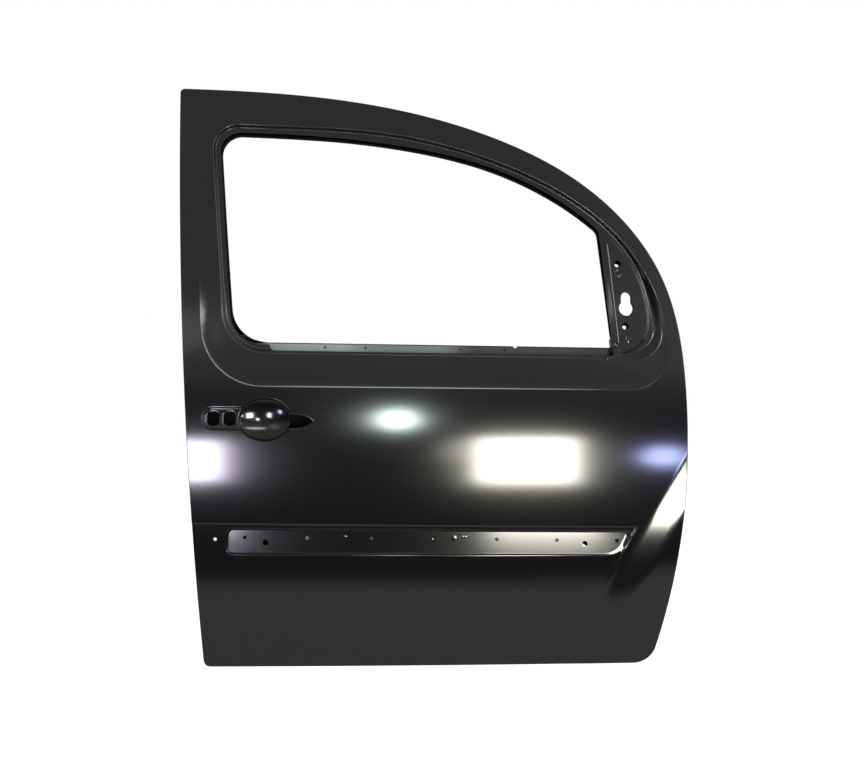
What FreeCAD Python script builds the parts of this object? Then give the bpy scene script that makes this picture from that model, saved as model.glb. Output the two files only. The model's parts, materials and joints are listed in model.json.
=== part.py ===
import FreeCAD, Part
import math
import os
import Sketcher
from FreeCAD import Placement, Rotation, Vector

# Bare pressed-steel shell of a van's right front door.
# X points forward, Y inboard, Z up. The origin lies on the flat hinge face,
# midway between the two hinges and on the line of their bolts.

SIZES = [
    # sheet metal
    ("skin_gauge", 1.0), ("inner_gauge", 1.0), ("belt_gauge", 1.2), ("plate_gauge", 2.5),
    ("seam_gap", 0.15), ("hem_width", 11), ("flange_width", 20),
    # door outline, measured from the hinge face and the hinge centre
    ("rear_reach", 1060), ("rear_rake", 69), ("rear_bow", 6), ("roof_height", 859), ("sill_drop", 422),
    ("sill_rise", 7), ("nose_reach", 59), ("toe_setback", 17), ("toe_radius", 52),
    ("roof_corner_radius", 9), ("sill_corner_radius", 14),
    # curve of the body side
    ("hinge_inset", 88), ("widest_height", 20), ("roof_lean", 140), ("lean_power", 1.8), ("sill_tuck", 40),
    ("crown_setback", 620), ("front_sweep", 24), ("rear_sweep", 6),
    # window opening and the seat pressed around it
    ("belt_height", 268.5), ("belt_fall", 13.5), ("window_rear", 966), ("window_front", 102),
    ("window_drop", 109), ("window_corner_radius", 42), ("window_heel_radius", 78),
    ("window_nose_radius", 26), ("seat_depth", 8), ("sail_front", 12), ("sail_rise", 2.5),
    # shoulder step that sweeps under the window
    ("shoulder_height", 188), ("shoulder_rear", 989), ("shoulder_front", 26), ("shoulder_tilt", 1.0),
    # crease and rubbing-strip recess
    ("crease_height", -104), ("crease_depth", 1.5), ("crease_slope", 35), ("crease_front", 46),
    ("strip_top", -118.5), ("strip_bottom", -171.5), ("strip_rear", 936), ("strip_front", 61),
    ("strip_rake", 27), ("strip_fall", 6), ("strip_radius", 13), ("strip_chin_radius", 34),
    ("strip_depth", 8.2), ("strip_crown", 590), ("strip_sweep", 10.8),
    # wheel-arch flare
    ("flare_angle", 7), ("flare_rise", 6),
    # handle scoop and its two slots
    ("scoop_setback", 855), ("scoop_height", 118), ("scoop_width", 118), ("scoop_tall", 94),
    ("scoop_depth", 17), ("scoop_draft", 0.18), ("slot_height", 120), ("slot_width", 30), ("slot_lip", 8.5),
    ("slot_depth", 4), ("slot_rear", 980), ("slot_bar", 9),
    # inner pressing
    ("door_depth", 138), ("frame_depth", 34), ("frame_foot", 172), ("waist_height", 287.5),
    ("waist_fall", 13), ("waist_depth", 88), ("waist_foot", 240), ("pan_shoulder", 196), ("pan_top", 292),
    ("pan_floor", -392), ("pan_rear_inset", 26), ("pan_toe_radius", 110), ("pan_heel_radius", 30),
    ("pan_fillet", 10), ("front_joint", 62), ("rear_joint", 925), ("frame_joint", 300), ("rib_rise", 5),
    # hinges, check strap and latch
    ("hinge_spread", 330), ("bolt_spacing", 60), ("bolt_hole", 11), ("nut_room", 3),
    ("hinge_plate_width", 40), ("hinge_plate_height", 96), ("strap_slot_width", 16),
    ("strap_slot_height", 38), ("strap_bolt_spacing", 62), ("strap_bolt_hole", 8.5), ("pad_rise", 2),
    ("pad_top", 214), ("pad_foot", -222), ("pad_outer", -21), ("pad_inner", 24),
    ("strap_plate_width", 38), ("strap_plate_height", 84), ("strap_drop", 70),
    ("latch_height", 60), ("latch_offset", -18), ("latch_slot_width", 34), ("latch_slot_height", 46),
    ("latch_circle", 76), ("latch_hole", 9), ("latch_plate_width", 76), ("latch_plate_height", 104),
    # side impact beam
    ("beam_diameter", 30), ("beam_wall", 2.2), ("beam_offset", -50), ("beam_front_height", 20),
    ("beam_rear_height", -230), ("beam_end_gap", 16), ("bracket_reach", 96), ("bracket_height", 84),
    ("bracket_foot", 30),
    # window guide channels
    ("channel_width", 15), ("channel_depth", 14), ("channel_gauge", 1.0), ("channel_length", 420),
    ("belt_hat_depth", 14), ("belt_hat_height", 58), ("belt_hat_crown", 30), ("belt_hat_drop", 2),
    ("notch_setback", 311), ("notch_width", 9), ("clip_hole", 5), ("clip_hole_drop", 7),
]

doc = FreeCAD.newDocument("van_front_door")
sheet = doc.addObject("Spreadsheet::Sheet", "Dimensions")
for row, (alias, number) in enumerate(SIZES, start=1):
    sheet.set(f"A{row}", alias)
    sheet.set(f"B{row}", str(number))
    sheet.setAlias(f"B{row}", alias)
doc.recompute()


class Size:
    """Reads a driving size from the sheet by its name."""

    def __getattr__(self, alias):
        return float(sheet.get(alias))


s = Size()
GAP = s.seam_gap
SKIN = s.skin_gauge
FAR = 420
MARGIN = 140


# The body side, as a smooth surface

def skin_y(x, z):
    """Y of the plain body side at a point of the side view."""
    if z < s.widest_height:
        lean = s.sill_tuck * ((s.widest_height - z) / (s.widest_height + s.sill_drop)) ** 2
    else:
        lean = s.roof_lean * ((z - s.widest_height) / (s.roof_height - s.widest_height)) ** s.lean_power
    ahead = x + s.crown_setback
    if ahead > 0:
        sweep = s.front_sweep * (ahead / (s.crown_setback + s.nose_reach)) ** 2
    else:
        sweep = s.rear_sweep * (ahead / (s.rear_reach - s.crown_setback)) ** 2
    return lean + sweep - s.hinge_inset


def side_face():
    """One spline face through the formula above, wider than the door."""
    low, high = -s.sill_drop - MARGIN, s.roof_height + MARGIN
    back, front = -s.rear_reach - MARGIN, s.nose_reach + MARGIN
    columns = [back + i * (front - back) / 8 for i in range(9)]
    rows = [low + i * (high - low) / 14 for i in range(15)]
    surface = Part.BSplineSurface()
    surface.interpolate([[Vector(x, skin_y(x, z), z) for z in rows] for x in columns])
    return surface.toShape()


SIDE = side_face()


def moved(shape, y):
    copy = shape.copy()
    copy.translate(Vector(0, y, 0))
    return copy


def plain_form(offset):
    """Solid inboard of the plain body side."""
    return moved(SIDE, offset).extrude(Vector(0, FAR, 0))


def turned_form(offset, start, end, angle):
    """Plain form turned about a line of the side view."""
    a = Vector(start[0], skin_y(*start) + offset, start[1])
    b = Vector(end[0], skin_y(*end) + offset, end[1])
    form = plain_form(offset)
    form.rotate(a, b - a, angle)
    return form


def strip_floor(offset):
    """Solid inboard of the rubbing strip's seat, upright and straighter than the body side."""
    middle = (s.strip_top + s.strip_bottom) / 2
    low = skin_y(-s.crown_setback, middle) + s.strip_depth + offset
    points = []
    for step in range(9):
        x = -s.rear_reach - MARGIN + step * (s.rear_reach + 2 * MARGIN) / 8
        bend = (x + s.strip_crown) / (s.strip_crown - s.strip_front)
        points.append(Vector(x, low + s.strip_sweep * bend * bend, s.strip_bottom - 60))
    path = Part.BSplineCurve()
    path.interpolate(points)
    wall = path.toShape().extrude(Vector(0, 0, s.strip_top - s.strip_bottom + 120))
    return wall.extrude(Vector(0, FAR, 0))


# Outlines in the side view

def at(point):
    return Vector(point[0], 0, point[1])


def line(a, b):
    return [Part.makeLine(at(a), at(b))]


def arc(a, b, c):
    return [Part.Arc(at(a), at(b), at(c)).toShape()]


def curve(points):
    """Smooth curve through points, as tangent arcs."""
    spline = Part.BSplineCurve()
    spline.interpolate([at(p) for p in points])
    return [piece.toShape() for piece in spline.toBiArcs(0.4)]


def loop(points):
    pairs = zip(points, points[1:] + points[:1])
    return [Part.makeLine(at(a), at(b)) for a, b in pairs]


def outline(edges, corners=(), grow=0.0):
    """Flat face of a closed outline, grown or shrunk, with rounded corners."""
    face = Part.Face(Part.Wire(Part.__sortEdges__(edges)))
    if grow:
        face = face.makeOffset2D(grow, 2)
    block = face.extrude(Vector(0, 20, 0))
    for (x, z), radius in corners:
        upright = [e for e in block.Edges if abs(e.tangentAt(e.FirstParameter).y) > 0.999]
        nearest = min(upright, key=lambda e: math.hypot(e.Vertexes[0].X - x, e.Vertexes[0].Z - z))
        block = block.makeFillet(max(radius + grow, 1.0), [nearest])
    for face in block.Faces:
        if abs(face.CenterOfMass.y) < 1e-6 and abs(face.normalAt(0, 0).y) > 0.99:
            return face


def prism(face, low=-300, high=400):
    return moved(face, low).extrude(Vector(0, high - low, 0))


def rear_edge(z):
    """X of the door's rear edge at a height."""
    u = (z + s.sill_drop) / (s.roof_height + s.sill_drop)
    return -s.rear_reach + s.rear_rake * (1 - u) - 4 * s.rear_bow * u * (1 - u)


ROOF_CORNER = (-s.rear_reach, s.roof_height)
HEEL = (rear_edge(-s.sill_drop), -s.sill_drop)
TOE = (-s.toe_setback, -s.sill_drop + s.sill_rise)


def door_outline(grow=0.0):
    front = curve([
        ROOF_CORNER,
        (-s.rear_reach + 364, s.roof_height - 29),
        (-s.rear_reach + 699, s.roof_height - 115),
        (-141, s.roof_height - 239),
        (s.nose_reach - 50, s.roof_height - 430),
        (s.nose_reach - 1, 182),
        (s.nose_reach - 6, -78),
        (s.nose_reach - 54, -342),
        TOE,
    ])
    middle = (s.roof_height - s.sill_drop) / 2
    edges = front + line(TOE, HEEL) + arc(HEEL, (rear_edge(middle), middle), ROOF_CORNER)
    corners = [(ROOF_CORNER, s.roof_corner_radius), (HEEL, s.sill_corner_radius), (TOE, s.toe_radius)]
    if grow < -s.hem_width / 2:
        corners = [(ROOF_CORNER, 24 - grow), (HEEL, 24 - grow), (TOE, s.toe_radius - grow / 2)]
    return outline(edges, corners, grow)


WINDOW_TOP = [
    (-s.window_rear, s.roof_height - s.window_drop),
    (-s.window_rear + 181, s.roof_height - s.window_drop - 8),
    (-s.window_rear + 382, s.roof_height - s.window_drop - 30),
    (-s.window_front - 259, s.roof_height - s.window_drop - 85),
    (-s.window_front - 104, s.roof_height - s.window_drop - 164),
    (-s.window_front - 29, s.roof_height - s.window_drop - 222),
]


def window_outline(front_sill, rear_sill, grow=0.0):
    """Window opening down to a sill given by its heights at both ends."""
    heel = (-s.window_rear + 41, rear_sill)
    nose = (-s.window_front, front_sill)
    edges = curve(WINDOW_TOP) + line(WINDOW_TOP[-1], nose) + line(nose, heel) + line(heel, WINDOW_TOP[0])
    corners = [(WINDOW_TOP[0], s.window_corner_radius), (WINDOW_TOP[-1], s.window_nose_radius),
               (heel, s.window_heel_radius)]
    return outline(edges, corners, grow)


def seat_outline(grow=0.0):
    """Stepped seat around the window, widened in front into the mirror sail."""
    top = s.roof_height - s.window_drop + 24
    foot = s.belt_height - 8
    heel = (-s.window_rear + 28, foot)
    toe = (-s.sail_front, foot - s.belt_fall)
    edge = [
        (-s.window_rear - 17, top),
        (-s.window_rear + 206, top - 11),
        (-s.window_rear + 388, top - 28),
        (-s.window_front - 261, top - 86),
        (-s.window_front - 76, top - 180),
        (-s.sail_front - 34, top - 329),
        (-s.sail_front, foot + 82),
        toe,
    ]
    corners = [(edge[0], 52), (heel, 92), (toe, 66)]
    return outline(curve(edge) + line(toe, heel) + line(heel, edge[0]), corners, grow)


def sail_outline(grow=0.0):
    """Pad of the mirror sail that stands up from the seat."""
    top, toe, heel = (-118, 530), (-s.sail_front - 20, 272), (-s.window_front + 10, 272)
    right = curve([top, (-68, 459), (-40, 395), (-s.sail_front - 19, 340), toe])
    return outline(right + line(toe, heel) + line(heel, top), [(toe, 34), (heel, 5)], grow)


SHOULDER_FADE = [(-s.shoulder_rear - 13, s.shoulder_height + 272), (-282, s.shoulder_height + 476)]


def shoulder_outline(grow=0.0):
    """Area inside the shoulder step, open upwards past the roof."""
    foot = (-s.shoulder_rear, s.shoulder_height + 2)
    toe = (s.shoulder_front, s.shoulder_height - 8)
    top = s.roof_height + 80
    front = [toe, (s.shoulder_front - 4, s.shoulder_height + 97),
             (s.shoulder_front - 34, s.shoulder_height + 198), (-82, s.shoulder_height + 315),
             (-183, s.shoulder_height + 416), SHOULDER_FADE[1], (-420, s.shoulder_height + 542)]
    edges = curve(front) + line(front[-1], (-420, top)) + line((-420, top), (foot[0] - 37, top))
    edges += line((foot[0] - 37, top), foot) + line(foot, toe)
    return outline(edges, [(foot, 135), (toe, 75)], grow)


def strip_outline(grow=0.0):
    """Recess for the rubbing strip: square at the rear, swept back below its nose."""
    rear = -s.strip_rear
    nose = (-s.strip_front, s.strip_top - s.strip_fall)
    chin = (-s.strip_front - s.strip_rake, s.strip_bottom - s.strip_fall / 2)
    heel = (rear, s.strip_bottom)
    corners = [((rear, s.strip_top), s.strip_radius), (nose, s.strip_radius / 2), (chin, s.strip_chin_radius),
               (heel, s.strip_radius)]
    return outline(loop([(rear, s.strip_top), nose, chin, heel]), corners, grow)


def slot_outline(rear, front, half, grow=0.0):
    """Round-ended slot of the handle, along X."""
    z = s.slot_height
    points = [(rear, z + half), (front, z + half), (front, z - half), (rear, z - half)]
    radius = min(0.9 * half, 0.35 * (front - rear))
    return outline(loop(points), [(p, radius) for p in points], grow)


def leaf_outline(grow=0.0):
    """Front handle slot: round towards the scoop, pointed in front."""
    x, z = -s.scoop_setback + s.scoop_width / 2, s.scoop_height - 4
    edges = arc((x - 6, z + 15), (x + 26, z + 12), (x + 47, z))
    edges += arc((x + 47, z), (x + 26, z - 12), (x - 6, z - 15))
    edges += line((x - 6, z - 15), (x - 6, z + 15))
    return outline(edges, [((x + 47, z), 3)], grow)


# The pressed body side

def crease_cut(offset):
    """Room below the crease: a sloped ledge that fades out downwards."""
    high = s.crease_height
    nose = (-s.crease_front, high - 9)
    ledge = turned_form(offset, (-s.rear_reach, high), nose, s.crease_slope)
    fade = high - 136
    drop = math.degrees(math.atan(s.crease_depth / 136))
    floor = turned_form(offset, (-s.rear_reach, fade), (-s.crease_front, fade), -drop)
    zone = outline(loop([(-s.rear_reach - 90, high + 1), nose, (-120, fade - 10), (-120, -s.sill_drop - 90),
                         (-s.rear_reach - 90, -s.sill_drop - 90)]), (), offset)
    return prism(zone).cut(ledge).cut(floor)


def flare(offset):
    """Wheel-arch flare that rises outboard ahead of a slanting crease."""
    top, foot = (s.nose_reach, 36), (-27, -110)
    ramp = turned_form(offset, top, foot, s.flare_angle)
    foot_angle = math.degrees(math.atan(s.flare_rise / 310))
    fade = turned_form(offset, (-200, -s.sill_drop), (s.nose_reach, -s.sill_drop), foot_angle)
    zone = outline(loop([(94, 93), (-98, -230), (-98, -s.sill_drop - 40), (180, -s.sill_drop - 40)]))
    return prism(zone, -300, 100).common(ramp).common(fade).common(plain_form(offset - s.flare_rise))


def edge_form(offset):
    """Body side with the features that reach the door's edge."""
    return plain_form(offset).cut(crease_cut(offset)).fuse(flare(offset))


def scoop(offset):
    """Handle scoop: a shallow oval bowl inside a steep oval wall."""
    x, z = -s.scoop_setback, s.scoop_height
    deep, tall = skin_y(x, z) + s.scoop_depth, 60.0
    bowl_size = FreeCAD.Matrix()
    bowl_size.scale(112 + offset, tall + offset, 90 + offset)
    bowl_size.move(Vector(x, deep - tall, z))
    bowl = Part.makeSphere(1.0).transformGeometry(bowl_size)
    slope = s.scoop_draft / s.scoop_depth
    wall = Part.makeCone(1 + 20 * slope, 1 - 30 * slope, 50, Vector(0, -20, 0), Vector(0, 1, 0))
    wall_size = FreeCAD.Matrix()
    wall_size.scale(s.scoop_width / 2 + offset, 1, s.scoop_tall / 2 + offset)
    wall_size.move(Vector(x, deep - s.scoop_depth, z))
    return bowl.common(wall.transformGeometry(wall_size))


def skin_form(offset):
    """Whole pressed body side; a larger offset gives the inside of the sheet."""
    tilt = turned_form(offset, SHOULDER_FADE[0], SHOULDER_FADE[1], s.shoulder_tilt)
    form = edge_form(offset).cut(prism(shoulder_outline(offset)).cut(tilt))
    sail = prism(sail_outline(-offset), -200, 100).common(moved(form, s.seat_depth - s.sail_rise))
    form = form.cut(prism(seat_outline(offset)).cut(moved(form, s.seat_depth))).fuse(sail)
    form = form.cut(prism(strip_outline(offset)).cut(strip_floor(offset)))
    half = s.slot_width / 2 + s.slot_lip
    slot = slot_outline(-s.slot_rear - s.slot_lip, -s.scoop_setback, half, offset)
    form = form.cut(prism(slot).cut(plain_form(offset + s.slot_depth)))
    return form.cut(scoop(offset))


def drill(x, z, diameter, low=-300, high=400):
    return Part.makeCylinder(diameter / 2, high - low, Vector(x, low, z), Vector(0, 1, 0))


def keyhole():
    """Cutters for the sail's wiring hole: a round hole with a round-ended slot above it."""
    x, low, high, half = -69.5, 360, 384, 12
    slot = outline(loop([(x - half, low), (x + half, low), (x + half, high), (x - half, high)]))
    return [prism(slot), drill(x, low, 33), drill(x, high, 2 * half)]


def skin_point(x, z):
    """Point of the finished outside at a place of the side view."""
    ray = Part.makeLine(Vector(x, -250, z), Vector(x, 150, z))
    return min(ray.common(OUTSIDE).Vertexes, key=lambda v: v.Y).Point


def drill_pair(first, second, scale=1.0):
    """Cutters for two holes square to the line between them."""
    a, b = skin_point(*first[:2]), skin_point(*second[:2])
    along = (b - a).normalize()
    inward = (Vector(0, 1, 0) - along * along.y).normalize()
    cutters = []
    for point, hole in ((a, first), (b, second)):
        cutters.append(Part.makeCylinder(scale * hole[2] / 2, 120, point - inward * 60, inward))
    return cutters


def band(low, high):
    """Sheet between two offsets of the door's edge form."""
    return moved(EDGE, low).cut(moved(EDGE, high))


def window_cut(grow=0.0):
    return prism(window_outline(s.belt_height - s.belt_fall, s.belt_height, grow))


WAIST_TILT = math.degrees(math.atan2(s.waist_fall, s.window_rear - 41 - s.window_front))


def waist_at(x):
    """Height of the inner waist, which falls towards the front."""
    return s.waist_height - (x + s.window_rear - 41) * math.tan(math.radians(WAIST_TILT))


def waist_cut(grow=0.0):
    return prism(window_outline(s.waist_height - s.waist_fall, s.waist_height, grow))


MIRROR_HOLES = [(-87.5, 458, 15), (-72.5, 321, 15)]
STRIP_HOLES = [(-854, -148, 12), (-163.5, -151, 12)]
CLIP_HOLES = [(-962, -140, 8), (-899, -137, 8), (-94, -145, 8)]

EDGE = edge_form(0)
OUTSIDE = skin_form(0)
INSIDE = skin_form(SKIN)
BEHIND = skin_form(SKIN + GAP)


def outer_panel():
    """Outer skin with its hemmed edge and openings."""
    hem = 2 * SKIN + s.inner_gauge + 2 * GAP
    door = prism(door_outline(), -300, 200)
    sheet_metal = OUTSIDE.common(door).cut(INSIDE)
    wall = band(0, hem).common(door).cut(prism(door_outline(-SKIN)))
    fold = band(hem - SKIN, hem).common(door).cut(prism(door_outline(-s.hem_width)))
    bar_rear = -s.slot_rear + 27
    half = s.slot_width / 2
    scoop_edge = -s.scoop_setback - s.scoop_width / 2 - 4
    cutters = [window_cut()]
    cutters.append(prism(slot_outline(-s.slot_rear, bar_rear, half), -300, 0))
    cutters.append(prism(slot_outline(bar_rear + s.slot_bar, scoop_edge, half), -300, 0))
    cutters.append(prism(leaf_outline(), -300, 0))
    cutters += keyhole() + [drill(*hole) for hole in CLIP_HOLES]
    cutters += drill_pair(*MIRROR_HOLES) + drill_pair(*STRIP_HOLES)
    return sheet_metal.fuse([wall, fold]).cut(cutters).removeSplitter()


# The inner pressing

def above(z):
    return Part.makeBox(1600, 800, 1400, Vector(-1300, -300, z))


def pan_outline(grow=0.0):
    """Deep lower pan: straight hinge wall in front, raked latch wall behind."""
    inset = s.pan_rear_inset
    front = -s.pad_rise
    points = [(front, s.pan_top), (front, s.pan_floor), (rear_edge(s.pan_floor) + inset, s.pan_floor),
              (rear_edge(s.pan_top) + inset, s.pan_top)]
    corners = [(points[1], s.pan_toe_radius), (points[2], s.pan_heel_radius)]
    return outline(loop(points), corners, grow)


def pan_block(shrink=0.0):
    """Pan as a solid, with its sloping waist and rounded inboard edges."""
    deep = s.door_depth - s.hinge_inset - shrink
    waist = s.waist_depth - s.hinge_inset - shrink
    slope = 0.4 * shrink
    section = [(-250, s.pan_floor - 60), (deep, s.pan_floor - 60), (deep, s.pan_shoulder - slope),
               (waist, s.waist_foot - slope), (waist, s.pan_top + 60), (-250, s.pan_top + 60)]
    wire = Part.makePolygon([Vector(-1300, y, z) for y, z in section + section[:1]])
    block = Part.Face(wire).extrude(Vector(1500, 0, 0)).common(prism(pan_outline(-shrink)))
    rim = [e for e in block.Edges if all(abs(v.Y - deep) < 1e-4 for v in e.Vertexes)]
    return block.makeFillet(s.pan_fillet - shrink, rim).fuse([hinge_pad(shrink)] + ribs(shrink))


def hinge_pad(shrink):
    """Flat pad pressed forward out of the front wall, for both hinges and the check strap."""
    low, high = s.pad_outer + shrink, s.pad_inner - shrink
    foot, top = s.pad_foot + shrink, s.pad_top - shrink
    pad = Part.makeBox(20, high - low, top - foot, Vector(-20 - shrink, low, foot))
    corners = [e for e in pad.Edges if abs(e.tangentAt(0).x) > 0.99]
    return pad.makeFillet(9 - shrink, corners)


RIBS = [(-880, -330, -338, 13), (-700, -420, 158, 12), (-890, -850, -130, 62), (-300, -92, -60, 11)]


def ribs(shrink):
    """Round-ended stiffening ribs on the inboard face."""
    deep = s.door_depth - s.hinge_inset
    shapes = []
    for rear, front, z, half in RIBS:
        points = [(rear, z + half), (front, z + half), (front, z - half), (rear, z - half)]
        radius = 0.9 * min(half, (front - rear) / 2)
        face = outline(loop(points), [(p, radius) for p in points], -shrink)
        shapes.append(prism(face, deep - 20, deep + s.rib_rise - shrink))
    return shapes


def frame_block(shrink=0.0):
    """Window frame as a solid that follows the body side."""
    ring = prism(door_outline(-s.flange_width - shrink)).common(above(s.frame_foot + shrink))
    return ring.cut(plain_form(s.frame_depth - shrink))


ACCESS = [(-735, 118), (-330, 118), (-330, -150), (-620, -150), (-735, -70)]
SPEAKER = (-196, -236, 165)
INNER_HOLES = [(-905, -300, 16), (-905, 20, 12), (-560, -300, 60), (-720, -250, 16), (-380, -250, 16),
               (-880, 180, 9), (-60, 60, 16), (-250, 90, 30)]


def hinge_holes():
    """Cutters along X for hinge bolts, check strap and wiring."""
    cutters = []
    for hinge in (-0.5, 0.5):
        for bolt in (-0.5, 0.5):
            z = hinge * s.hinge_spread + bolt * s.bolt_spacing
            cutters.append(Part.makeCylinder(s.bolt_hole / 2, 40, Vector(-20, 0, z), Vector(1, 0, 0)))
    for bolt in (-0.5, 0.5):
        z = bolt * s.strap_bolt_spacing - s.strap_drop
        cutters.append(Part.makeCylinder(s.strap_bolt_hole / 2, 40, Vector(-20, 0, z), Vector(1, 0, 0)))
    corner = Vector(-20, -s.strap_slot_width / 2, -s.strap_slot_height / 2 - s.strap_drop)
    cutters.append(Part.makeBox(40, s.strap_slot_width, s.strap_slot_height, corner))
    cutters.append(Part.makeCylinder(17, 40, Vector(-20, 0, 80), Vector(1, 0, 0)))
    return cutters


REAR_TILT = math.degrees(math.atan2(rear_edge(s.pan_floor) - rear_edge(s.pan_top), s.pan_top - s.pan_floor))


def rear_wall(z):
    """X of the latch wall's outer face at a height."""
    u = (z - s.pan_floor) / (s.pan_top - s.pan_floor)
    low, high = rear_edge(s.pan_floor), rear_edge(s.pan_top)
    return low + u * (high - low) + s.pan_rear_inset


LATCH = Placement(Vector(rear_wall(s.latch_height), s.latch_offset, s.latch_height),
                  Rotation(Vector(0, 1, 0), -REAR_TILT))


def latch_holes():
    """Cutters for the latch mouth and its three screws."""
    mouth = Part.makeBox(40, s.latch_slot_width, s.latch_slot_height,
                         Vector(-20, -s.latch_slot_width / 2, -s.latch_slot_height / 2))
    cutters = [mouth]
    for turn in (90, 210, 330):
        y = s.latch_circle / 2 * math.cos(math.radians(turn))
        z = s.latch_circle / 2 * math.sin(math.radians(turn))
        cutters.append(Part.makeCylinder(s.latch_hole / 2, 40, Vector(-20, y, z), Vector(1, 0, 0)))
    for cutter in cutters:
        cutter.Placement = LATCH.multiply(cutter.Placement)
    return cutters


def inner_pressing():
    """Whole inner pressing with window frame, pan, weld flange and openings."""
    gauge = s.inner_gauge
    solid = frame_block().fuse(pan_block()).cut(waist_cut())
    hollow = frame_block(gauge).fuse(pan_block(gauge)).cut(waist_cut(gauge))
    shell = solid.cut(hollow)
    low = SKIN + GAP
    room = prism(door_outline(-s.flange_width - gauge)).common(above(s.frame_foot + gauge))
    flange = band(low, low + gauge).common(prism(door_outline(-SKIN - GAP)))
    flange = flange.cut(room.fuse(prism(pan_outline(-gauge))))
    slot_top = s.waist_depth - s.hinge_inset - gauge
    ends = -s.window_rear + 36, -s.window_front + 4
    top = [(x, waist_at(x) + 0.5) for x in ends]
    slot = prism(outline(loop(top + [(x, z - 30.5) for x, z in reversed(top)])), slot_top - 300, slot_top)
    access = outline(loop(ACCESS), [(p, 34) for p in ACCESS])
    notch = drill(-s.notch_setback, waist_at(-s.notch_setback), s.notch_width, -40, 60)
    cutters = [slot, notch, prism(access, 0, 200)] + drill_pair(*MIRROR_HOLES, 0.6)
    cutters += keyhole() + [drill(*hole, 0, 200) for hole in [SPEAKER] + INNER_HOLES]
    cutters += hinge_holes() + latch_holes()
    return shell.common(BEHIND).fuse(flange).cut(cutters).removeSplitter()


def inner_parts():
    """The pressing's four blanks, butt-welded: window frame, hinge part, middle and latch part."""
    whole = inner_pressing()
    gap = GAP / 2
    low, wide = s.frame_joint - gap, Vector(-1300, -300, -700)
    hinge = Part.makeBox(400, 800, low + 700, Vector(-s.front_joint + gap, -300, -700))
    latch = Part.makeBox(1300 - s.rear_joint - gap, 800, low + 700, wide)
    between = s.rear_joint - s.front_joint - GAP
    middle = Part.makeBox(between, 800, low + 700, Vector(-s.rear_joint + gap, -300, -700))
    zones = {"window_frame": above(s.frame_joint + gap), "inner_panel_front": hinge, "inner_panel": middle,
             "inner_panel_rear": latch}
    return {label: whole.common(zone) for label, zone in zones.items()}


# Pressed reinforcements that lie against the body side

def sheet_on_skin(region, low, high):
    """Sheet that follows the inside of the skin within a region."""
    return region.common(moved(BEHIND, low)).cut(moved(BEHIND, high))


def belt_reinforcement():
    """Hat strip along the inside of the outer belt."""
    rear, front = -s.window_rear + 92, -s.window_front - 30
    low, high = s.shoulder_height + 8, s.belt_height - s.belt_fall - 9
    gauge, foot, rise = s.belt_gauge, 10, 13

    def strip(bottom, top):
        return prism(outline(loop([(rear, bottom), (front, bottom), (front, top), (rear, top)])), -150, 50)

    pieces = [sheet_on_skin(strip(low, low + foot), 0, gauge),
              sheet_on_skin(strip(high - foot, high), 0, gauge),
              sheet_on_skin(strip(low + foot - gauge, low + foot), 0, rise + gauge),
              sheet_on_skin(strip(high - foot, high - foot + gauge), 0, rise + gauge),
              sheet_on_skin(strip(low + foot - gauge, high - foot + gauge), rise, rise + gauge)]
    return pieces[0].fuse(pieces[1:]).removeSplitter()


def handle_reinforcement():
    """Plate behind the handle, open around the scoop and its slots."""
    x, z = -s.scoop_setback, s.scoop_height
    rear, front = rear_wall(z) + 22, x + 124
    points = [(rear, z + 62), (front, z + 62), (front, z - 74), (rear, z - 74)]
    half = s.slot_width / 2 + s.slot_lip + 6
    clear = [prism(slot_outline(-s.slot_rear - s.slot_lip - 6, x, half)), prism(leaf_outline(7)), scoop(10)]
    plate = prism(outline(loop(points), [(p, 14) for p in points]), -150, 50).cut(clear)
    return sheet_on_skin(plate, 0, s.belt_gauge).removeSplitter()


def mirror_reinforcement():
    """Plate behind the mirror sail."""
    points = [(-107, 478), (-92, 478), (-52, 396), (-42, 350), (-48, 296), (-86, 284)]
    cutters = drill_pair(*MIRROR_HOLES, 1.1) + keyhole()
    plate = prism(outline(loop(points), [(p, 7) for p in points]), -150, 50).cut(cutters)
    return sheet_on_skin(plate, 0, 1.5).removeSplitter()


def feature(label, shape):
    part = doc.addObject("Part::Feature", label)
    part.Shape = shape
    part.Placement = Placement()
    return part


# Plates, channels and the beam, drawn from sketches

def named(text):
    """Turns {alias} into a reference to the sheet."""
    return text.replace("{", "Dimensions.").replace("}", "")


def value(text):
    return float(sheet.evalExpression(named(text)))


def bind(sketch, kind, *place_and_text):
    *place, text = place_and_text
    index = sketch.addConstraint(Sketcher.Constraint(kind, *place, value(text)))
    sketch.setExpression(f"Constraints[{index}]", named(text))


def add_rectangle(sketch, left, bottom, width, height):
    x, y = value(left), value(bottom)
    w, h = value(width), value(height)
    corners = [(x, y), (x + w, y), (x + w, y + h), (x, y + h)]
    first = sketch.GeometryCount
    for a, b in zip(corners, corners[1:] + corners[:1]):
        sketch.addGeometry(Part.LineSegment(Vector(*a, 0), Vector(*b, 0)))
    for side in range(4):
        sketch.addConstraint(Sketcher.Constraint("Coincident", first + side, 2, first + (side + 1) % 4, 1))
        sketch.addConstraint(Sketcher.Constraint("Vertical" if side % 2 else "Horizontal", first + side))
    bind(sketch, "DistanceX", -1, 1, first, 1, left)
    bind(sketch, "DistanceY", -1, 1, first, 1, bottom)
    bind(sketch, "DistanceX", first, 1, first, 2, width)
    bind(sketch, "DistanceY", first + 1, 1, first + 1, 2, height)


def add_circle(sketch, across, up, diameter):
    x, y = value(across), value(up)
    index = sketch.addGeometry(Part.Circle(Vector(x, y, 0), Vector(0, 0, 1), value(diameter) / 2))
    bind(sketch, "DistanceX", -1, 1, index, 3, across)
    bind(sketch, "DistanceY", -1, 1, index, 3, up)
    bind(sketch, "Diameter", index, diameter)


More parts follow.
